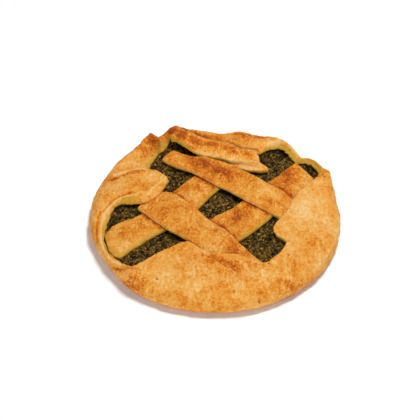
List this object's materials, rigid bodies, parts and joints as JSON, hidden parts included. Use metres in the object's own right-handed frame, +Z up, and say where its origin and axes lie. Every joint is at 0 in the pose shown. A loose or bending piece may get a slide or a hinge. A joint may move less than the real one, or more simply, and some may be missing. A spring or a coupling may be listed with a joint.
{
  "type": "lattice pie",
  "caption": "Round, flat savoury pie: a dough base with an unevenly folded-in border and a dough lattice over a dark green chopped-leaf filling.",
  "frame": {"origin": "middle of the bounding box's underside, on the surface the pie rests on", "axes": "+X to the right of a viewer who stands in front of the pie, +Y away from that viewer, towards the folded back flap, +Z up"},
  "size_m": [0.2584, 0.257, 0.0382],
  "materials": {
    "crust": "baked yeast dough, golden to orange-brown, satin from an egg wash, pale on the cut edges",
    "lattice": "baked dough strips, golden orange with browned patches, satin",
    "filling": "cooked chopped green leaves, dark olive, moist"
  },
  "bodies": {
    "root": {"crust": "crust", "filling": "filling", "long_strip_front": "lattice", "long_strip_back": "lattice", "cross_strip_left": "lattice", "cross_strip_right": "lattice"}
  },
  "joints": []
}
